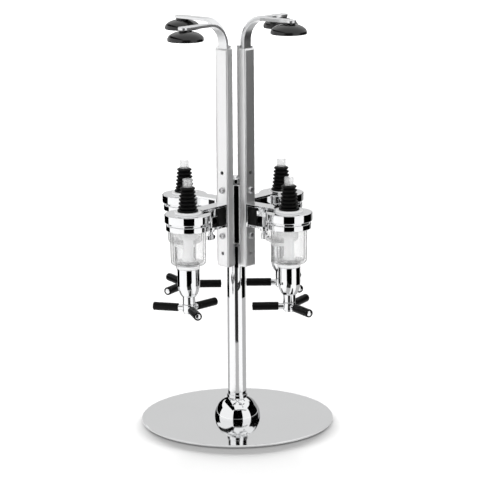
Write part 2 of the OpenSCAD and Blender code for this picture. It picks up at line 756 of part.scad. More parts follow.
// One unbroken wire wound between the plunger and the roof of the spring bore
module spring(k) {
    color("gray") at_optic(k) polyhedron(points = spring_points, faces = spring_faces, convexity = 8);
}

wire_sides = 6;
turn_parts = 8;
turn_step = 360 / turn_parts;
wire_rings = turn_parts * spring_turns;
coil_r = plunger_d / 2 + run_fit - spring_side - spring_wire / 2;
coil_low = plunger_top + spring_wire / 2 + slide_fit;
coil_rise = spring_h - spring_wire - 2 * slide_fit;
spring_path = [for (i = [0:wire_rings]) let (a = turn_step * i)
    [coil_r * cos(a), coil_r * sin(a), coil_low + coil_rise * i / wire_rings]];
spring_points = [for (i = [0:wire_rings]) for (j = [0:wire_sides - 1])
    let (a = turn_step * i, b = 360 * j / wire_sides, r = coil_r + spring_wire / 2 * cos(b))
    [r * cos(a), r * sin(a), spring_path[i][2] + spring_wire / 2 * sin(b)]];
spring_skin = [for (i = [0:wire_rings - 1]) for (j = [0:wire_sides - 1])
    let (n = (j + 1) % wire_sides, p = i * wire_sides, q = p + wire_sides)
    each [[p + j, p + n, q + n], [p + j, q + n, q + j]]];
spring_ends = [for (j = [1:wire_sides - 2]) let (q = wire_rings * wire_sides)
    each [[0, j + 1, j], [q, q + j, q + j + 1]]];
spring_faces = concat(spring_skin, spring_ends);
turn_rises = [for (i = [0:wire_rings - turn_parts]) norm(spring_path[i + turn_parts] - spring_path[i])];
echo(spring_gap = min(turn_rises) - spring_wire);

// Ring with three rods that turns on the spout
module trigger(k) {
    color("silver") at_optic(k) rotate([0, 0, trigger_angle[k - 1]]) difference() {
        union() {
            translate([0, 0, trigger_mid - trigger_h / 2]) cylinder(d = trigger_d, h = trigger_h);
            trigger_rod_places() cylinder(d = trigger_rod_d, h = trigger_reach);
        }
        translate([0, 0, spout_bottom])
            cylinder(d = spout_d + 2 * run_fit, h = trigger_top - spout_bottom + past);
    }
}

// Places a child at the start of each trigger rod, with +Z along the rod
module trigger_rod_places() {
    for (i = [0:trigger_rods - 1]) rotate([0, 0, 360 / trigger_rods * i])
        translate([0, 0, trigger_mid]) rotate([0, 90, 0]) children();
}

module sleeves(k) {
    sleeve_end = trigger_reach - rod_show;
    color([0.05, 0.05, 0.05]) at_optic(k) rotate([0, 0, trigger_angle[k - 1]]) trigger_rod_places()
        rotate_extrude() polygon(turned(trigger_rod_d / 2, sleeve_d / 2, sleeve_start, sleeve_end));
}

// Thumb screw whose tip bears on the tongue of the cap
module wing_screw(k) {
    lobe_x = wing_w / 2 - wing_lobe_r;
    low = wing_lobe_r * (1 - wing_web);
    high = wing_lobe_r * (1 + wing_web);
    hub_r = wing_hub_d / 2;
    tip_h = cap_bottom - slide_fit - wing_top + wing_h;
    color("silver") at_station(k) translate([wing_r, 0, wing_top - wing_h]) {
        cylinder(d = wing_screw_d, h = tip_h);
        cylinder(d = wing_hub_d, h = wing_h);
        rotate([90, 0, 0]) linear_extrude(wing_t, center = true) {
            for (side = [-1, 1]) translate([side * lobe_x, wing_lobe_r]) circle(r = wing_lobe_r);
            polygon([[-lobe_x, low], [lobe_x, low], [lobe_x, high], [hub_r, wing_h], [-hub_r, wing_h],
                [-lobe_x, high]]);
        }
    }
}

base_pad();
base_plate();
base_bolt();
base_dome();
pole();
spindle();
thrust_washer();
cap_nut();
hub();
hub_bushes();
head_screws();
jaw_blocks();
corks();
inlet_tubes();
inlet_seats();
optic_caps();
collar_rings();
chambers();
neck_rings();
valve_bodies();
for (k = [1:stations]) {
    rail(k);
    bracket(k);
    arm(k);
    shoe(k);
    cup(k);
    wing_screw(k);
    spring(k);
    valve_rod(k);
    trigger(k);
    sleeves(k);
}
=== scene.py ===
import json
import math

import bmesh
import bpy
from mathutils import Matrix, Vector

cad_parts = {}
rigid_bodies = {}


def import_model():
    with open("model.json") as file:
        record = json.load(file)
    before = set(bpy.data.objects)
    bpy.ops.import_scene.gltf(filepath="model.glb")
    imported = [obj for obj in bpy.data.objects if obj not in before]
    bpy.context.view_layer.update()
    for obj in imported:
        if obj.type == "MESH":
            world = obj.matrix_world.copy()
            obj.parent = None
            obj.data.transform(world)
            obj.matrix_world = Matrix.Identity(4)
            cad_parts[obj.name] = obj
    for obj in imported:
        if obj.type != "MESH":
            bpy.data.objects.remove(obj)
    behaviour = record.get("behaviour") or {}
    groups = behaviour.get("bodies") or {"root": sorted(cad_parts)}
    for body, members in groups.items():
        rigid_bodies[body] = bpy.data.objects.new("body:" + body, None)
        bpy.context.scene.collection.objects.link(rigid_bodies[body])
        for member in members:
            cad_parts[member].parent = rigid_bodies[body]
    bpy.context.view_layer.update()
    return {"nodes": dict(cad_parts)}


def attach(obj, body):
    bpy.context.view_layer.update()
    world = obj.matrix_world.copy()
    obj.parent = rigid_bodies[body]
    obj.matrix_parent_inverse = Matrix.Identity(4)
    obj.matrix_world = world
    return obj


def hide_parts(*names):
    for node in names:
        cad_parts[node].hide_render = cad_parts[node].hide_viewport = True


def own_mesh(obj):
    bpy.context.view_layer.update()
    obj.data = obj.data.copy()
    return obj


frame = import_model()
scene = bpy.context.scene
print("frame loaded with", len(frame["nodes"]), "nodes")

mm = 0.001  # pieces are modelled in millimetres and scaled once, when they are dressed
layout = {"stations": 4, "firstAngle": -45, "opticRadius": 82.5}
stationNumbers = range(1, layout["stations"] + 1)


def stationTurn(k):
    return Matrix.Rotation(math.radians(layout["firstAngle"] + 360 / layout["stations"] * (k - 1)), 4, "Z")


def opticPlace(k):
    return stationTurn(k) @ Matrix.Translation((layout["opticRadius"], 0, 0))


# shader sums are written as sums: a Wire is a socket that can be added, scaled and linked
class Wire:
    def __init__(self, tree, socket=None):
        self.tree = tree
        self.socket = socket

    def node(self, kind, settings=None, sockets=None, output=0):
        made = self.tree.nodes.new("ShaderNode" + kind)
        for name, value in (settings or {}).items():
            setattr(made, name, value)
        for name, value in (sockets or {}).items():
            if isinstance(value, Wire):
                self.tree.links.new(value.socket, made.inputs[name])
            else:
                made.inputs[name].default_value = value
        return Wire(self.tree, made.outputs[output])

    def to(self, shader, name):
        self.tree.links.new(self.socket, shader.inputs[name])

    def sums(self, operation, first, second):
        return self.node("Math", {"operation": operation}, {0: first, 1: second})

    def __add__(self, other):
        return self.sums("ADD", self, other)

    def __mul__(self, other):
        return self.sums("MULTIPLY", self, other)

    __radd__ = __add__
    __rmul__ = __mul__


def startFinish(name, fixed):
    material = bpy.data.materials.new(name)
    material.use_nodes = True
    shader = material.node_tree.nodes["Principled BSDF"]
    for socket, value in fixed.items():
        shader.inputs[socket].default_value = value
    return material, Wire(material.node_tree), shader


def grey(level):
    return (level, level, level)


def cloud(wire, size, stretch=(1, 1, 1), detail=3):
    # soft noise on the piece's own coordinates, with spots about size mm across
    place = wire.node("TexCoord", output="Object")
    spread = wire.node("Mapping", {}, {"Vector": place, "Scale": [s / (size * mm) for s in stretch]})
    return wire.node("TexNoise", {}, {"Vector": spread, "Scale": 1.0, "Detail": detail})


def between(wire, value, low, high):
    return wire.node("MapRange", {}, {"Value": value, "From Min": low, "From Max": high})


def blendTone(wire, share, first, second):
    # a Mix node has its colours on inputs 6 and 7 and on output 2
    ends = [tone if isinstance(tone, Wire) else (*tone, 1) for tone in (first, second)]
    return wire.node("Mix", {"data_type": "RGBA"}, {0: share, 6: ends[0], 7: ends[1]}, 2)


def bumpFrom(wire, height, depth, strength=0.5):
    return wire.node("Bump", {}, {"Height": height, "Distance": depth * mm, "Strength": strength})


chromeLook = {"tone": (0.90, 0.905, 0.91), "shade": (0.84, 0.845, 0.855), "gloss": 0.02, "smear": 0.05,
              "marks": (0.45, 0.75), "size": 22, "patch": 3}


def makeChrome(name, look):
    # bright plate with faint handling marks that only show in the gloss
    material, wire, shader = startFinish(name, {"Metallic": 1.0})
    smear = between(wire, cloud(wire, look["size"], detail=5), *look["marks"])
    (look["gloss"] + look["smear"] * smear).to(shader, "Roughness")
    patches = cloud(wire, look["patch"] * look["size"])
    blendTone(wire, patches, look["tone"], look["shade"]).to(shader, "Base Color")
    return material


baseLook = {"tone": (0.88, 0.885, 0.89), "shade": (0.83, 0.835, 0.84), "gloss": 0.05, "lines": 0.05,
            "pitch": 0.7, "lineMarks": (0.4, 0.8), "smear": 0.05, "marks": (0.5, 0.8), "size": 45, "patch": 2}


def makePolishedBase(look):
    # rings left by the polishing wheel, round the middle of the plate
    material, wire, shader = startFinish("polishedBase", {"Metallic": 1.0})
    place = wire.node("TexCoord", output="Object")
    flat = wire.node("VectorMath", {"operation": "MULTIPLY"}, {0: place, 1: (1, 1, 0)})
    away = wire.node("VectorMath", {"operation": "LENGTH"}, {0: flat}, "Value")
    count = away * (1 / (look["pitch"] * mm))
    rings = wire.node("TexNoise", {"noise_dimensions": "1D"}, {"W": count, "Detail": 2})
    lines = between(wire, rings, *look["lineMarks"])
    smear = between(wire, cloud(wire, look["size"], detail=4), *look["marks"])
    (look["gloss"] + look["lines"] * lines + look["smear"] * smear).to(shader, "Roughness")
    patches = cloud(wire, look["patch"] * look["size"])
    blendTone(wire, patches, look["tone"], look["shade"]).to(shader, "Base Color")
    return material


railLook = {"tone": grey(0.96), "shade": (0.92, 0.92, 0.925), "gloss": 0.34, "streak": 0.10, "width": 0.45,
            "long": 0.006, "depth": 0.006, "relief": 0.3}


def makeSatinRail(look):
    # anodised extrusion: die lines run the length of the rail
    material, wire, shader = startFinish("satinRail", {"Metallic": 1.0})
    streak = cloud(wire, look["width"], (1, 1, look["long"]), 2)
    (look["gloss"] + look["streak"] * streak).to(shader, "Roughness")
    blendTone(wire, streak, look["tone"], look["shade"]).to(shader, "Base Color")
    bumpFrom(wire, streak, look["depth"], look["relief"]).to(shader, "Normal")
    return material


steelLook = {"tone": (0.70, 0.70, 0.71), "shade": (0.58, 0.58, 0.59), "gloss": 0.16, "streak": 0.14,
             "size": 1.2, "squeeze": 6}
bronzeLook = {**steelLook, "tone": (0.62, 0.46, 0.27), "shade": (0.50, 0.36, 0.20)}


def makeSteel(name, look):
    # turned metal: fine rings round the upright axis
    material, wire, shader = startFinish(name, {"Metallic": 1.0})
    grain = cloud(wire, look["size"], (1, 1, look["squeeze"]))
    (look["gloss"] + look["streak"] * grain).to(shader, "Roughness")
    blendTone(wire, grain, look["tone"], look["shade"]).to(shader, "Base Color")
    return material


rubberLook = {"tone": grey(0.003), "shade": grey(0.008), "rough": 0.12, "spread": 0.10, "size": 0.5,
              "depth": 0.03}
corkLook = {**rubberLook, "rough": 0.34}
vinylLook = {"tone": grey(0.002), "shade": grey(0.006), "rough": 0.24, "spread": 0.14, "size": 0.8,
             "depth": 0.03}
nylonLook = {"tone": grey(0.003), "shade": grey(0.008), "rough": 0.30, "spread": 0.2, "size": 0.6,
             "depth": 0.03}
padLook = {"tone": grey(0.03), "shade": grey(0.06), "rough": 0.7, "spread": 0.2, "size": 1.5, "depth": 0.2}
columnLook = {"tone": grey(0.96), "shade": (0.92, 0.925, 0.93), "rough": 0.28, "spread": 0.15, "size": 2.0,
              "depth": 0.02}


def makeMoulded(name, look, fixed=None, patch=8):
    # moulded surface: fine grain in gloss and height, and wider patches of colour
    material, wire, shader = startFinish(name, fixed or {})
    grain = cloud(wire, look["size"], detail=4)
    (look["rough"] + look["spread"] * grain).to(shader, "Roughness")
    blendTone(wire, cloud(wire, patch * look["size"]), look["tone"], look["shade"]).to(shader, "Base Color")
    bumpFrom(wire, grain, look["depth"]).to(shader, "Normal")
    return material


# the edge colour in these looks is painted shade: the grey a clear wall turns to where it is seen edge on
clearLook = {"tone": grey(0.99), "shade": (0.97, 0.975, 0.975), "rough": 0.03, "haze": 0.12,
             "flow": (0.5, 0.9), "size": 14, "patch": 2, "index": 1.49, "through": 0.5, "cover": 0.15,
             "rim": 0.8, "paintedEdgeShade": grey(0.05), "rimFacing": (0.55, 0.9)}
tubeLook = {**clearLook, "haze": 0.25, "size": 6, "through": 0.3, "cover": 0.3, "rim": 0.3,
            "paintedEdgeShade": grey(0.35)}


def makeClear(name, look):
    # clear moulding with slight flow haze, which covers more where its wall is seen edge on; there its colour
    # turns darker, partly for the longer path through the wall and partly as painted shade for the dark
    # surroundings seen through it
    material, wire, shader = startFinish(name, {"Transmission Weight": look["through"], "IOR": look["index"]})
    facing = wire.node("LayerWeight", {}, {"Blend": 0.5}, "Facing")
    edgeOn = between(wire, facing, *look["rimFacing"])
    (look["cover"] + look["rim"] * edgeOn).to(shader, "Alpha")
    haze = between(wire, cloud(wire, look["size"]), *look["flow"])
    (look["rough"] + look["haze"] * haze).to(shader, "Roughness")
    body = blendTone(wire, cloud(wire, look["patch"] * look["size"]), look["tone"], look["shade"])
    # painted shade: the colour goes grey where the wall is seen edge on
    blendTone(wire, edgeOn, body, look["paintedEdgeShade"]).to(shader, "Base Color")
    return material


chrome = makeChrome("chromePlate", chromeLook)
satinChrome = makeChrome("satinChrome", {**chromeLook, "gloss": 0.30})
polishedBase = makePolishedBase(baseLook)
satinRail = makeSatinRail(railLook)
brightSteel = makeSteel("brightSteel", steelLook)
bearingBronze = makeSteel("bearingBronze", bronzeLook)
blackRubber = makeMoulded("blackRubber", rubberLook, {"Specular IOR Level": 0.6})
corkRubber = makeMoulded("corkRubber", corkLook, {"Specular IOR Level": 0.09})
blackVinyl = makeMoulded("blackVinyl", vinylLook, {"Specular IOR Level": 0.11})
blackNylon = makeMoulded("blackNylon", nylonLook, {"Specular IOR Level": 0.14})
padSheet = makeMoulded("padSheet", padLook)
whiteNylon = makeMoulded("whiteNylon", columnLook)
clearAcrylic = makeClear("clearAcrylic", clearLook)
clearTube = makeClear("clearTube", tubeLook)
print("materials made:", len(bpy.data.materials))


def sweepArc(bm, start, arc):
    # a vertex spun about a point leaves an arc of edges; stretch makes it part of an ellipse
    centre = Vector((arc["about"][0], 0, arc["about"][1]))
    before = set(bm.verts)
    spun = bmesh.ops.spin(bm, geom=[start], cent=centre, axis=(0, 1, 0), angle=math.radians(arc["sweep"]),
                          steps=arc.get("steps", 20))
    fresh = [v for v in bm.verts if v not in before]
    bmesh.ops.scale(bm, vec=(1, 1, arc.get("stretch", 1)), space=Matrix.Translation(-centre), verts=fresh)
    return spun["geom_last"][0]


def turned(outline, piece, merge=1e-4):
    # corners are (radius, height, rounding), arcs are dictionaries; the outline is spun once round Z
    bm = bmesh.new()
    corners, rounded, last = [], {}, None
    for item in outline:
        if isinstance(item, dict):
            last = sweepArc(bm, last, item)
            continue
        radius, height, rounding = (*item, 0)[:3]
        corners.append(bm.verts.new((radius, 0, height)))
        if last is not None:
            bm.edges.new((last, corners[-1]))
        last = corners[-1]
        if rounding:
            rounded.setdefault(rounding, []).append(last)
    if piece.get("closed", True):
        bm.edges.new((last, corners[0]))
    for rounding, verts in rounded.items():
        bmesh.ops.bevel(bm, geom=verts, offset=rounding, offset_type="OFFSET", affect="VERTICES",
                        segments=piece.get("segments", 3), profile=0.5, material=-1)
    bmesh.ops.spin(bm, geom=bm.verts[:] + bm.edges[:], cent=(0, 0, 0), axis=(0, 0, 1), angle=2 * math.pi,
                   steps=piece["steps"], use_merge=True)
    bmesh.ops.remove_doubles(bm, verts=bm.verts, dist=merge)
    return bm


def ringOutline(size):
    return [(size["bore"], size["low"]), (size["radius"], size["low"], size["edge"]),
            (size["radius"], size["top"], size["edge"]), (size["bore"], size["top"])]


def easeEdges(bm, edge, segments=2, corner=35):
    sharp = [e for e in bm.edges if len(e.link_faces) == 2 and e.calc_face_angle() > math.radians(corner)]
    bmesh.ops.bevel(bm, geom=sharp, offset=edge, offset_type="OFFSET", affect="EDGES", segments=segments,
                    profile=0.5, material=-1, clamp_overlap=True)
    return bm


def onCorner(edge, corner):
    radius = math.hypot(*corner["sides"])
    return all(abs(v.co.xy.length - radius) < corner["within"] for v in edge.verts)


def easedSolid(node, piece, merge=1e-3, flat=0.5):
    # a copy of a CAD solid, merged, with its sharp edges eased; upright corners get their own bevel
    bm = bmesh.new()
    bm.from_mesh(frame["nodes"][node].data)
    bmesh.ops.scale(bm, vec=(1 / mm, 1 / mm, 1 / mm), verts=bm.verts)
    bmesh.ops.remove_doubles(bm, verts=bm.verts, dist=merge)
    bmesh.ops.dissolve_limit(bm, angle_limit=math.radians(flat), verts=bm.verts, edges=bm.edges)
    if "corner" in piece:
        corner = piece["corner"]
        outer = [e for e in bm.edges if onCorner(e, corner)]
        bmesh.ops.bevel(bm, geom=outer, offset=corner["bevel"], offset_type="OFFSET", affect="EDGES",
                        segments=corner["segments"], profile=0.5, material=-1)
    return easeEdges(bm, piece["edge"])


def block(low, high, edge):
    bm = bmesh.new()
    low, high = Vector(low), Vector(high)
    bmesh.ops.create_cube(bm, size=1)
    bmesh.ops.scale(bm, vec=high - low, verts=bm.verts)
    bmesh.ops.translate(bm, vec=(low + high) / 2, verts=bm.verts)
    return easeEdges(bm, edge)


def flatFace(wide, deep):
    bm = bmesh.new()
    bmesh.ops.create_grid(bm, x_segments=1, y_segments=1, size=0.5)
    bmesh.ops.scale(bm, vec=(wide, deep, 1), verts=bm.verts)
    return bm


def pushFace(bm, face, step):
    made = bmesh.ops.extrude_face_region(bm, geom=[face])["geom"]
    bmesh.ops.translate(bm, vec=step, verts=[v for v in made if isinstance(v, bmesh.types.BMVert)])
    return next(f for f in made if isinstance(f, bmesh.types.BMFace))


def moved(bm, matrix):
    bm.transform(matrix)
    return bm


def copied(bm, count):
    # count copies evenly round Z, the first where it is
    bmesh.ops.spin(bm, geom=bm.verts[:] + bm.edges[:] + bm.faces[:], cent=(0, 0, 0), axis=(0, 0, 1),
                   angle=2 * math.pi * (count - 1) / count, steps=count - 1, use_duplicate=True)
    return bm


def atStations(bm):
    return copied(moved(bm, opticPlace(1)), layout["stations"])


def joined(*shapes):
    whole = bmesh.new()
    for shape in shapes:
        part = bpy.data.meshes.new("part")
        shape.to_mesh(part)
        shape.free()
        whole.from_mesh(part)
        bpy.data.meshes.remove(part)
    return whole


def makePiece(name, bm, body, nodes, finish, sharp=40):
    bmesh.ops.recalc_face_normals(bm, faces=bm.faces)
    bmesh.ops.scale(bm, vec=(mm, mm, mm), verts=bm.verts)
    mesh = bpy.data.meshes.new(name)
    bm.to_mesh(mesh)
    bm.free()
    mesh.materials.append(finish)
    mesh.shade_smooth()
    mesh.set_sharp_from_angle(angle=math.radians(sharp))
    piece = bpy.data.objects.new(name, mesh)
    scene.collection.objects.link(piece)
    even = piece.modifiers.new("evenNormals", "WEIGHTED_NORMAL")
    even.keep_sharp = True
    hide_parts(*nodes)
    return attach(piece, body)


def coat(node, finish):
    # a CAD node that keeps its own shape
    mesh = frame["nodes"][node].data
    mesh.materials.clear()
    mesh.materials.append(finish)


# stand
plate = {"radius": 115, "low": 1, "top": 4, "edge": 1.45, "bolt": 3, "boltHead": 5.5, "land": 0.5,
         "steps": 240, "segments": 6}


def plateOutline(size):
    return [(size["boltHead"], size["low"]), (size["radius"], size["low"], size["edge"]),
            (size["radius"], size["top"], size["edge"]), (size["bolt"], size["top"]),
            (size["bolt"], size["top"] - size["land"])]


makePiece("basePlate", turned(plateOutline(plate), plate), "stand", ["base_plate"], polishedBase)

ball = {"radius": 27.4, "wall": 1.2, "foot": 4, "bore": 11.05, "collarTop": 32.5, "edge": 0.5,
        "boreEdge": 0.2, "steps": 128, "outerSteps": 40, "innerSteps": 20}


def ballOutline(size):
    outer = size["bore"] + size["wall"]
    inner = size["radius"] - size["wall"]
    rise = math.degrees(math.acos(outer / size["radius"]))
    fall = math.degrees(math.acos(size["bore"] / inner))
    return [(size["radius"], size["foot"]),
            {"about": (0, size["foot"]), "sweep": -rise, "steps": size["outerSteps"]},
            (outer, size["collarTop"], size["edge"]), (size["bore"], size["collarTop"], size["boreEdge"]),
            (size["bore"], size["foot"] + math.sqrt(inner ** 2 - size["bore"] ** 2)),
            {"about": (0, size["foot"]), "sweep": fall, "steps": size["innerSteps"]}]


makePiece("ballCover", turned(ballOutline(ball), ball), "stand", ["base_dome"], chrome)

post = {"radius": 11, "bore": 9.5, "low": 4, "top": 216, "plug": 24, "bolt": 3, "lowEdge": 0.3,
        "topEdge": 0.4, "boreEdge": 0.2, "steps": 96}


def postOutline(size):
    return [(size["bolt"], size["low"]), (size["radius"], size["low"], size["lowEdge"]),
            (size["radius"], size["top"], size["topEdge"]), (size["bore"], size["top"], size["boreEdge"]),
            (size["bore"], size["plug"]), (size["bolt"], size["plug"])]


makePiece("pole", turned(postOutline(post), post), "stand", ["pole"], chrome)

spindle = {"depth": 176, "radius": 9.5, "seat": 216, "flange": 11, "flangeTop": 219, "pin": 6, "top": 294.7,
           "edge": 0.5, "flangeEdge": 0.3, "steps": 72, "closed": False}


def spindleOutline(size):
    return [(0, size["depth"]), (size["radius"], size["depth"], size["edge"]),
            (size["radius"], size["seat"]), (size["flange"], size["seat"], size["flangeEdge"]),
            (size["flange"], size["flangeTop"], size["flangeEdge"]), (size["pin"], size["flangeTop"]),
            (size["pin"], size["top"], size["edge"]), (0, size["top"])]


makePiece("headSpindle", turned(spindleOutline(spindle), spindle), "stand", ["spindle"], brightSteel)

washer = {"bore": 6.05, "radius": 10.2, "low": 219, "top": 220, "edge": 0.2, "steps": 72}
makePiece("thrustWasher", turned(ringOutline(washer), washer), "stand", ["thrust_washer"], bearingBronze)

capNut = {"bore": 6, "radius": 9.5, "low": 290.2, "skirt": 294.7, "dome": 4, "edge": 0.4, "steps": 72}


def nutOutline(size):
    return [(size["bore"], size["low"]), (size["radius"], size["low"], size["edge"]),
            (size["radius"], size["skirt"]),
            {"about": (0, size["skirt"]), "sweep": -90, "stretch": size["dome"] / size["radius"]},
            (0, size["skirt"]), (size["bore"], size["skirt"])]


makePiece("capNut", turned(nutOutline(capNut), capNut), "stand", ["cap_nut"], chrome)
coat("base_pad", padSheet)
coat("base_bolt", brightSteel)
print("stand made")

# turning head
hub = {"edge": 0.3, "corner": {"sides": (13.5, 8.5), "within": 0.1, "bevel": 1.0, "segments": 2}}
headScrew = {"edge": 0.12}
jawBlock = {"edge": 0.5}
makePiece("hubBlock", easedSolid("hub", hub), "head", ["hub"], chrome)
makePiece("headScrews", easedSolid("head_screws", headScrew), "head", ["head_screws"], brightSteel)
makePiece("jawBlocks", easedSolid("jaw_blocks", jawBlock), "head", ["jaw_blocks"], blackNylon)
coat("hub_bushes", bearingBronze)

rail = {"edge": 0.3, "corner": {"sides": (23.5, 8.5), "within": 0.1, "bevel": 2.0, "segments": 5}}
bracket = {"edge": 0.3}
wingScrew = {"edge": 0.25}
for k in stationNumbers:
    makePiece(f"rail_{k}.satin", easedSolid(f"rail_{k}", rail), "head", [f"rail_{k}"], satinRail)
    makePiece(f"bracket_{k}.chrome", easedSolid(f"bracket_{k}", bracket), "head", [f"bracket_{k}"], chrome)
    makePiece(f"wingScrew_{k}", easedSolid(f"wing_screw_{k}", wingScrew), f"clamp_screw_{k}",
              [f"wing_screw_{k}"], chrome)
print("head made")

# bottle arms
arm = {"thick": 3.5, "width": 12.4, "middle": 18.45, "low": 316.2, "bendLow": 452.3, "bend": 27.25,
       "bendSteps": 32, "tip": 92, "tipFlat": 0.05, "tipSegments": 14, "edge": 0.55, "edgeSegments": 3,
       "sharp": 50, "tang": (7, 10), "tangEdge": 0.2, "lift": (6.5, 0, 0, 0)}


def bentArm(size):
    # the strip's foot is pushed up, spun through the bend and pushed out to the rounded tip
    bm = moved(flatFace(size["thick"], size["width"]), Matrix.Translation((size["middle"], 0, size["low"])))
    end = pushFace(bm, bm.faces[:][0], (0, 0, size["bendLow"] - size["low"]))
    pivot = (size["middle"] + size["bend"], 0, size["bendLow"])
    spun = bmesh.ops.spin(bm, geom=[end, *end.edges, *end.verts], cent=pivot, axis=(0, 1, 0),
                          angle=math.pi / 2, steps=size["bendSteps"])
    end = next(f for f in spun["geom_last"] if isinstance(f, bmesh.types.BMFace))
    tip = pushFace(bm, end, (size["tip"] - pivot[0], 0, 0))
    corners = [e for e in tip.edges if abs(e.verts[0].co.z - e.verts[1].co.z) > size["thick"] / 2]
    bmesh.ops.bevel(bm, geom=corners, offset=size["width"] / 2 - size["tipFlat"], offset_type="OFFSET",
                    affect="EDGES", segments=size["tipSegments"], profile=0.5, material=-1)
    easeEdges(bm, size["edge"], size["edgeSegments"], size["sharp"])
    wide, long = size["tang"]
    tang = block((size["middle"] - size["thick"] / 2, -wide / 2, size["low"] - long),
                 (size["middle"] + size["thick"] / 2, wide / 2, size["low"]), size["tangEdge"])
    return joined(bm, tang)


shoe = {"edge": 0.3}
cup = {"rim": 465, "radius": 20.75, "rimHeight": 2.5, "rimWidth": 3, "hollow": 3, "hollowSteps": 12,
       "crown": 9.5, "stem": 7.5, "under": 477.8, "pin": 2.5, "pinTop": 479.8, "edge": 1, "stemEdge": 0.3,
       "pinEdge": 0.2, "steps": 96, "closed": False}


def cupOutline(size):
    inner = size["radius"] - size["rimWidth"]
    curve = (inner ** 2 + size["hollow"] ** 2) / (2 * size["hollow"])
    hollowTop = size["rim"] + size["hollow"]
    brow = size["rim"] + size["rimHeight"]
    shoulder = math.degrees(math.acos(size["stem"] / size["radius"]))
    dish = {"about": (0, hollowTop - curve), "sweep": math.degrees(math.asin(inner / curve)),
            "steps": size["hollowSteps"]}
    return [(0, hollowTop), dish, (size["radius"], size["rim"], size["edge"]), (size["radius"], brow),
            {"about": (0, brow), "sweep": -shoulder, "stretch": size["crown"] / size["radius"]},
            (size["stem"], size["under"], size["stemEdge"]), (size["pin"], size["under"]),
            (size["pin"], size["pinTop"], size["pinEdge"]), (0, size["pinTop"])]


for k in stationNumbers:
    lift = Matrix.Translation((0, 0, arm["lift"][k - 1]))
    body = f"bottle_arm_{k}"
    makePiece(f"bottleArm_{k}", moved(bentArm(arm), stationTurn(k) @ lift), body, [f"arm_{k}"], satinChrome)
    makePiece(f"frictionShoe_{k}", easedSolid(f"shoe_{k}", shoe), body, [f"shoe_{k}"], blackNylon)
    makePiece(f"bottleCup_{k}", moved(turned(cupOutline(cup), cup), opticPlace(k) @ lift), body, [f"cup_{k}"],
              blackRubber)
print("bottle arms made")

# measuring optics
cap = {"radius": 27, "low": 256.5, "top": 266.5, "edge": 1.0, "hole": 11, "spigot": 23.2, "seat": 252.3,
       "seatEdge": 0.2, "tongue": (-44.8, 6), "tongueEdge": 0.6, "steps": 128, "segments": 4}


def capOutline(size):
    return [(size["hole"], size["seat"]), (size["spigot"], size["seat"], size["seatEdge"]),
            (size["spigot"], size["low"]), (size["radius"], size["low"], size["edge"]),
            (size["radius"], size["top"], size["edge"]), (size["hole"], size["top"])]


def capTongue(size):
    reach, wide = size["tongue"]
    return block((reach, -wide, size["low"]), (-size["spigot"], wide, size["top"]), size["tongueEdge"])


makePiece("opticCaps", atStations(joined(turned(capOutline(cap), cap), capTongue(cap))), "head",
          ["optic_caps"], chrome)

inlet = {"radius": 5.5, "bore": 4.3, "low": 258.5, "top": 307, "edge": 0.5, "boreEdge": 0.4, "steps": 56}
seat = {"collar": 15.8, "collarTop": 268.8, "collarEdge": 0.6, "rimEdge": 0.2, "steps": 112}
skirt = {"bore": 6.5, "low": 237.3, "edge": 0.4, "window": 6.5, "windowLow": 248.3, "webSteps": 36,
         "steps": 96}


def seatOutline(size):
    return [(inlet["bore"], cap["seat"]), (cap["hole"], cap["seat"]), (cap["hole"], cap["top"]),
            (size["collar"], cap["top"], size["rimEdge"]),
            (size["collar"], size["collarTop"], size["collarEdge"]), (inlet["radius"], size["collarTop"]),
            (inlet["radius"], inlet["low"]), (inlet["bore"], inlet["low"])]


def inletSkirt(size):
    # a whole ring, and above it two arcs between the windows
    ring = turned([(size["bore"], size["low"], size["edge"]), (cap["hole"], size["low"], size["edge"]),
                   (cap["hole"], size["windowLow"]), (size["bore"], size["windowLow"])], size)
    half = math.asin(size["window"] / 2 / cap["hole"])
    web = flatFace(cap["hole"] - size["bore"], cap["seat"] - size["windowLow"])
    bmesh.ops.rotate(web, matrix=Matrix.Rotation(math.pi / 2, 3, "X"), verts=web.verts)
    middle = ((cap["hole"] + size["bore"]) / 2, 0, (cap["seat"] + size["windowLow"]) / 2)
    bmesh.ops.translate(web, vec=middle, verts=web.verts)
    bmesh.ops.rotate(web, matrix=Matrix.Rotation(half, 3, "Z"), verts=web.verts)
    bmesh.ops.spin(web, geom=web.verts[:] + web.edges[:] + web.faces[:], cent=(0, 0, 0), axis=(0, 0, 1),
                   angle=math.pi - 2 * half, steps=size["webSteps"])
    return joined(ring, copied(web, 2))


makePiece("inletSeats", atStations(joined(turned(seatOutline(seat), seat), inletSkirt(skirt))), "head",
          ["inlet_seats"], whiteNylon)

collar = {"radius": 25.5, "low": 247.3, "top": 254, "edge": 0.9, "bore": 23.2, "boreEdge": 0.2, "lip": 21,
          "lipTop": 249.3, "steps": 128, "segments": 4}


def collarOutline(size):
    return [(size["lip"], size["low"]), (size["radius"], size["low"], size["edge"]),
            (size["radius"], size["top"], size["edge"]), (size["bore"], size["top"], size["boreEdge"]),
            (size["bore"], size["lipTop"]), (size["lip"], size["lipTop"])]


makePiece("collarRings", atStations(turned(collarOutline(collar), collar)), "head", ["collar_rings"], chrome)

cork = {"low": 268.8, "foot": 12, "footTop": 271.4, "footEdge": 0.7, "height": 26.4, "fins": 6, "lowFin": 11,
        "topFin": 8.8, "out": 2.2, "rise": 0.5, "rim": 0.22, "finEdge": 0.35, "bore": 5.5, "steps": 80}


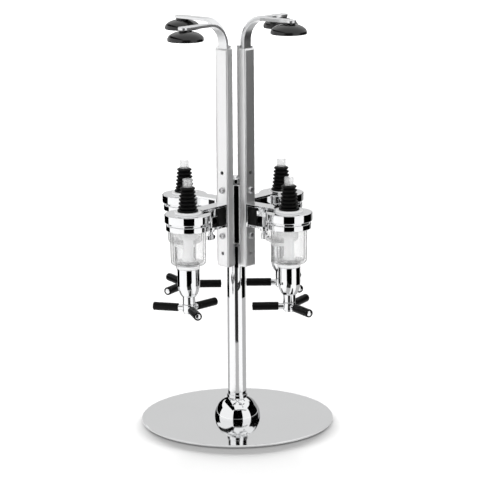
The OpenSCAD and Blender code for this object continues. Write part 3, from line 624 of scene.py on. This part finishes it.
def corkOutline(size):
    pitch = size["height"] / size["fins"]
    taper = (size["lowFin"] - size["topFin"]) / (size["fins"] - 1)
    outline = [(size["bore"], size["low"]), (size["foot"], size["low"], size["footEdge"]),
               (size["foot"], size["footTop"], size["footEdge"])]
    for i in range(size["fins"]):
        fin, low = size["lowFin"] - taper * i, size["footTop"] + pitch * i
        outline += [(fin - size["out"], low), (fin, low + pitch * size["rise"], size["finEdge"]),
                    (fin, low + pitch * (size["rise"] + size["rim"]), size["finEdge"]),
                    (fin - size["out"], low + pitch)]
    return outline + [(size["bore"], size["footTop"] + size["height"])]


makePiece("corks", atStations(turned(corkOutline(cork), cork)), "head", ["corks"], corkRubber)


def inletOutline(size):
    return [(size["bore"], size["low"]), (size["radius"], size["low"]),
            (size["radius"], size["top"], size["edge"]), (size["bore"], size["top"], size["boreEdge"])]


makePiece("inletTubes", atStations(turned(inletOutline(inlet), inlet)), "head", ["inlet_tubes"], clearTube)

chamber = {"foot": 20.4, "top": 21, "low": 206.7, "edge": 3.5, "bore": 18.6, "boreFoot": 18, "floor": 209.7,
           "floorEdge": 1.1, "neck": 9, "flange": 23.2, "flangeLow": 249.3, "flangeTop": 252.3,
           "flangeEdge": 0.3, "steps": 112, "segments": 8}


def chamberOutline(size):
    return [(size["neck"], size["low"]), (size["foot"], size["low"], size["edge"]),
            (size["top"], collar["low"]), (size["top"], size["flangeLow"]),
            (size["flange"], size["flangeLow"]), (size["flange"], size["flangeTop"]),
            (size["bore"], size["flangeTop"], size["flangeEdge"]),
            (size["boreFoot"], size["floor"], size["floorEdge"]), (size["neck"], size["floor"])]


makePiece("measureChambers", atStations(turned(chamberOutline(chamber), chamber)), "head", ["chambers"],
          clearAcrylic)

neckRing = {"radius": 13.5, "bore": 9, "low": 202, "top": 206.7, "edge": 0.8, "steps": 96}
makePiece("neckRings", atStations(turned(ringOutline(neckRing), neckRing)), "head", ["neck_rings"],
          whiteNylon)

bullet = {"radius": 13, "end": 8.7, "low": 169, "roundTop": 183, "roundSteps": 28, "top": 202, "topEdge": 0.8,
          "spigot": 9, "spigotTop": 209.7, "spigotEdge": 0.3, "throat": 4.25, "bore": 7.35, "roof": 199,
          "steps": 112}


def bulletOutline(size):
    share = math.acos(size["end"] / size["radius"])
    tall = (size["roundTop"] - size["low"]) / math.sin(share)
    nose = {"about": (0, size["roundTop"]), "sweep": math.degrees(share), "stretch": tall / size["radius"],
            "steps": size["roundSteps"]}
    return [(size["bore"], size["roof"]), (size["throat"], size["roof"]),
            (size["throat"], size["spigotTop"]), (size["spigot"], size["spigotTop"], size["spigotEdge"]),
            (size["spigot"], size["top"]), (size["radius"], size["top"], size["topEdge"]),
            (size["radius"], size["roundTop"]), nose, (size["bore"], size["low"])]


makePiece("valveBodies", atStations(turned(bulletOutline(bullet), bullet)), "head", ["valve_bodies"], chrome)
print("optics made")

# moving valve pieces
plunger = {"lip": 5.75, "lipLow": 148, "lipTop": 149.5, "lipEdge": 0.4, "lipTopEdge": 0.3, "spout": 4.5,
           "low": 159.5, "lowEdge": 0.5, "radius": 7.3, "top": 184, "topEdge": 0.4, "rod": 3.5,
           "rodTop": 209.9, "outlet": 2, "outletTop": 191.5, "steps": 80}


def plungerOutline(size):
    return [(size["outlet"], size["lipLow"]), (size["lip"], size["lipLow"], size["lipEdge"]),
            (size["lip"], size["lipTop"], size["lipTopEdge"]), (size["spout"], size["lipTop"]),
            (size["spout"], size["low"]), (size["radius"], size["low"], size["lowEdge"]),
            (size["radius"], size["top"], size["topEdge"]), (size["rod"], size["top"]),
            (size["rod"], size["rodTop"]), (0, size["rodTop"]), (0, size["outletTop"]),
            (size["outlet"], size["outletTop"])]


column = {"low": 209.9, "seal": 7.5, "sealTop": 212.9, "sealEdge": 0.5, "radius": 5.75, "top": 242.8,
          "topEdge": 1.0, "steps": 72, "closed": False}


def columnOutline(size):
    return [(0, size["low"]), (size["seal"], size["low"], size["sealEdge"]),
            (size["seal"], size["sealTop"], size["sealEdge"]), (size["radius"], size["sealTop"]),
            (size["radius"], size["top"], size["topEdge"]), (0, size["top"])]


trigger = {"bore": 4.55, "radius": 7.5, "low": 149.7, "top": 159.3, "edge": 0.7, "steps": 80, "rods": 3,
           "angle": (103, 12, 102, 57)}
rod = {"radius": 3.4, "start": 5.2, "reach": 43.5, "dome": 1.2, "steps": 56, "closed": False}
sleeve = {"bore": 3.4, "radius": 4.8, "low": 12.6, "top": 43, "edge": 1.0, "steps": 56}


def rodOutline(size):
    shoulder = size["reach"] - size["dome"]
    return [(0, size["start"]), (size["radius"], size["start"]), (size["radius"], shoulder),
            {"about": (0, shoulder), "sweep": -90, "stretch": size["dome"] / size["radius"]}]


def alongRods(bm, size):
    # from the Z axis to the three rods of a trigger
    middle = Matrix.Translation((0, 0, (size["low"] + size["top"]) / 2))
    return copied(moved(bm, middle @ Matrix.Rotation(math.pi / 2, 4, "Y")), size["rods"])


coil = {"wire": 1.1, "wireSteps": 12, "radius": 6.15, "low": 184.75, "rise": 13.5, "turns": 4.5, "steps": 40,
        "top": 199, "height": 15, "travel": 8}


def woundCoil(size):
    # a small disc spun upwards, one unbroken wire
    bm = bmesh.new()
    bmesh.ops.create_circle(bm, cap_ends=True, radius=size["wire"] / 2, segments=size["wireSteps"])
    bmesh.ops.rotate(bm, matrix=Matrix.Rotation(math.pi / 2, 3, "X"), verts=bm.verts)
    bmesh.ops.translate(bm, vec=(size["radius"], 0, size["low"]), verts=bm.verts)
    steps = int(size["turns"] * size["steps"])
    bmesh.ops.spin(bm, geom=bm.verts[:] + bm.edges[:] + bm.faces[:], cent=(0, 0, 0), axis=(0, 0, 1),
                   dvec=(0, 0, size["rise"] / steps), angle=2 * math.pi * size["turns"], steps=steps)
    return bm


for k in stationNumbers:
    place = opticPlace(k)
    makePiece(f"valvePlunger_{k}", moved(turned(plungerOutline(plunger), plunger), place), f"plunger_{k}",
              [f"valve_rod_{k}"], chrome)
    makePiece(f"meterColumn_{k}", moved(turned(columnOutline(column), column), place), f"plunger_{k}",
              [f"valve_rod_{k}"], whiteNylon)
    turnedPlace = place @ Matrix.Rotation(math.radians(trigger["angle"][k - 1]), 4, "Z")
    bar = joined(turned(ringOutline(trigger), trigger), alongRods(turned(rodOutline(rod), rod), trigger))
    makePiece(f"triggerBar_{k}", moved(bar, turnedPlace), f"trigger_bar_{k}", [f"trigger_{k}"], chrome)
    sleeves = alongRods(turned(ringOutline(sleeve), sleeve), trigger)
    makePiece(f"gripSleeves_{k}", moved(sleeves, turnedPlace), f"trigger_bar_{k}", [f"sleeves_{k}"],
              blackVinyl)
    spring = makePiece(f"returnSpring_{k}", moved(woundCoil(coil), place), "head", [f"spring_{k}"],
                       brightSteel)
    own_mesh(spring)
print("valves made")


# floor, cards, lamps and camera
def stagePiece(name, bm, material):
    mesh = bpy.data.meshes.new(name)
    bm.to_mesh(mesh)
    bm.free()
    mesh.materials.append(material)
    piece = bpy.data.objects.new(name, mesh)
    scene.collection.objects.link(piece)
    return piece


def seenShare(wire):
    # one for what the camera sees, straight, mirrored or through clear plastic, nothing for other light
    kinds = [wire.node("LightPath", output=f"Is {kind} Ray") for kind in ("Camera", "Transmission", "Glossy")]
    return wire.sums("MAXIMUM", kinds[0], wire.sums("MAXIMUM", kinds[1], kinds[2]))


floorLook = {"size": 30, "tone": grey(0.41), "shade": grey(0.40), "patch": 400, "lift": 0.07}


def makeFloor(look):
    # pale paper, a little lifted for the camera and in reflections
    material, wire, shader = startFinish("paleFloor", {"Roughness": 0.9, "Specular IOR Level": 0.0,
                                                       "Emission Strength": 1.0})
    blendTone(wire, cloud(wire, look["patch"]), look["tone"], look["shade"]).to(shader, "Base Color")
    blendTone(wire, seenShare(wire), grey(0), grey(look["lift"])).to(shader, "Emission Color")
    return stagePiece("floor", flatFace(look["size"], look["size"]), material)


floor = makeFloor(floorLook)
photoView = {"place": (-0.1280, -2.3633, 0.7552), "pitch": 12.72, "roll": -0.45, "lens": 153.8,
             "shift": 0.0083, "clipEnd": 60}
cameraYaw = Matrix.Rotation(math.atan2(photoView["place"][0], -photoView["place"][1]), 4, "Z")
# what only polished and clear pieces see, in metres from the middle of the base: an edge between two points
# (radius, height), swept through degrees right of the camera, or a flat panel's corners (right, away, up)
cards = {
    "frontSlot": {"edges": ((0.80, 0.0), (0.80, 0.72)), "sweep": (-22, 27), "tone": 0.0},
    "frontTable": {"edges": ((0.36, 0.001), (0.80, 0.001)), "sweep": (-20, 20), "tone": 0.03},
    "frontFloor": {"edges": ((0.12, 0.001), (0.36, 0.001)), "sweep": (-18, 22), "tone": 0.5},
    "rightDoor": {"edges": ((0.60, 0.0), (0.60, 0.52)), "sweep": (70, 128), "tone": 0.0},
    "rightFloor": {"edges": ((0.12, 0.001), (0.60, 0.001)), "sweep": (72, 170), "tone": 0.5},
    "rightBack": {"edges": ((0.60, 0.2), (0.60, 0.42)), "sweep": (128, 165), "tone": 0.0},
    "rightFoot": {"edges": ((0.60, 0.0), (0.60, 0.2)), "sweep": (128, 165), "tone": 0.35},
    "leftDoor": {"edges": ((0.60, 0.0), (0.60, 0.30)), "sweep": (-158, -99), "tone": 0.0},
    "leftBack": {"edges": ((0.60, 0.25), (0.60, 0.46)), "sweep": (-160, -143), "tone": 0.0},
    "leftFloor": {"edges": ((0.12, 0.001), (0.60, 0.001)), "sweep": (-170, -104), "tone": 0.5},
    "frontSeam": {"panel": ((-0.33, -0.98, 1), (-0.33, -1.15, 1), (1.75, -0.85, 1), (1.6, -0.68, 1)),
                  "tone": 0.2},
    "leftBeam": {"panel": ((-0.25, -0.92, 1), (-0.62, -1.06, 1), (-1.45, 2.1, 1), (-0.95, 2.5, 1)),
                 "tone": 0.0},
    "backdrop": {"edges": ((1.5, 0.0), (1.5, 1.2)), "sweep": (140, 220), "tone": 0.69},
    "wall": {"edges": ((1.5, 0.0), (1.5, 1.2)), "sweep": (-140, 140), "tone": 0.69},
}
# seen straight, the polished plate mirrors the backdrop's grey on every side: clear cards a step in front of
# others add the light that is missing, at the first reflection (up to this ray depth) or at later ones
plateSees = {"piece": "basePlate", "step": 0.005, "rayDepth": 1.5,
             "filled": ("frontSlot", "rightDoor", "rightBack", "rightFoot", "leftDoor", "leftBack",
                        "frontSeam", "leftBeam")}


def shineOnly(source, target, state="INCLUDE"):
    # this lamp's or card's light reaches one piece alone, or all but that piece
    group = bpy.data.collections.new(f"{source.name}Target")
    group.objects.link(target)
    group.collection_objects[0].light_linking.link_state = state
    source.light_linking.receiver_collection = group


def cardShape(card, steps=24):
    bm = bmesh.new()
    if "panel" in card:
        bmesh.ops.contextual_create(bm, geom=[bm.verts.new(corner) for corner in card["panel"]])
    else:
        first, last = [math.radians(a) for a in card["sweep"]]
        ends = [bm.verts.new((0, -radius, height)) for radius, height in card["edges"]]
        edge = bm.edges.new(ends)
        bmesh.ops.rotate(bm, matrix=Matrix.Rotation(first, 3, "Z"), verts=ends)
        bmesh.ops.spin(bm, geom=[*ends, edge], cent=(0, 0, 0), axis=(0, 0, 1), angle=last - first,
                       steps=steps)
    return moved(bm, cameraYaw)


def makeCard(name, card):
    material = startFinish(name, {"Base Color": (0, 0, 0, 1), "Roughness": 1.0, "Specular IOR Level": 0.0,
                                  "Emission Color": (1, 1, 1, 1), "Emission Strength": card["tone"]})[0]
    piece = stagePiece(name, cardShape(card), material)
    piece.visible_camera = piece.visible_diffuse = piece.visible_shadow = False
    return piece


def addGlow(name, steps, first, later, state="INCLUDE"):
    # a clear card some steps in front of another, with light for the first reflection and for later ones
    card = dict(cards[name])
    nearer = steps * plateSees["step"]
    if "panel" in card:
        card["panel"] = [(right, away, up - nearer) for right, away, up in card["panel"]]
    else:
        card["edges"] = [(radius - nearer, height) for radius, height in card["edges"]]
    piece = makeCard(f"{name}Glow{steps}", card)
    tree = piece.data.materials[0].node_tree
    wire = Wire(tree)
    isLater = wire.sums("GREATER_THAN", wire.node("LightPath", output="Ray Depth"), plateSees["rayDepth"])
    glow = wire.node("Emission", {}, {"Color": blendTone(wire, isLater, grey(first), grey(later))})
    both = wire.node("AddShader", {}, {0: glow, 1: wire.node("BsdfTransparent")})
    both.to(tree.nodes["Material Output"], "Surface")
    shineOnly(piece, bpy.data.objects[plateSees["piece"]], state)


for name, card in cards.items():
    makeCard(name, card)
for name in plateSees["filled"]:
    addGlow(name, 1, cards["backdrop"]["tone"] - cards[name]["tone"], 0)
# all else, and the plate at later reflections, sees the wall white
missing = 1 - cards["wall"]["tone"]
addGlow("wall", 1, missing, missing, "EXCLUDE")
addGlow("wall", 2, 0, missing)

lamps = {
    "keyLamp": {"at": (-1.1, -1.2, 1.9), "size": (1.4, 1.4), "power": 8},
    "floorLamp": {"at": (1, 22, 3), "size": (24, 3), "power": 70000},
}
for name, lamp in lamps.items():
    light = bpy.data.lights.new(name, "AREA")
    light.shape = "RECTANGLE"
    light.size, light.size_y = lamp["size"]
    light.energy = lamp["power"]
    holder = bpy.data.objects.new(name, light)
    holder.location = lamp["at"]
    holder.rotation_euler = (-Vector(lamp["at"])).to_track_quat("-Z", "Y").to_euler()
    holder.visible_camera = holder.visible_glossy = holder.visible_transmission = False
    scene.collection.objects.link(holder)
# the low lamp far behind lights the floor alone, for the shadow in front of the base
shineOnly(bpy.data.objects["floorLamp"], floor)

worldLook = {"tone": grey(1), "ambient": 0.92}


def lightWorld(look):
    # white to the camera and in reflections, a little lower as light
    scene.world = bpy.data.worlds.new("studio")
    scene.world.use_nodes = True
    wire = Wire(scene.world.node_tree)
    back = scene.world.node_tree.nodes["Background"]
    back.inputs["Color"].default_value = (*look["tone"], 1)
    (look["ambient"] + (1 - look["ambient"]) * seenShare(wire)).to(back, "Strength")


lightWorld(worldLook)
scene.view_settings.view_transform = "Standard"

camera = bpy.data.objects.new("photoCamera", bpy.data.cameras.new("photoCamera"))
camera.matrix_world = (Matrix.Translation(photoView["place"]) @ cameraYaw
                       @ Matrix.Rotation(math.radians(90 - photoView["pitch"]), 4, "X")
                       @ Matrix.Rotation(math.radians(photoView["roll"]), 4, "Z"))
camera.data.lens = photoView["lens"]
camera.data.shift_x = photoView["shift"]
camera.data.clip_end = photoView["clipEnd"]
scene.collection.objects.link(camera)
scene.camera = camera
print("stage made")
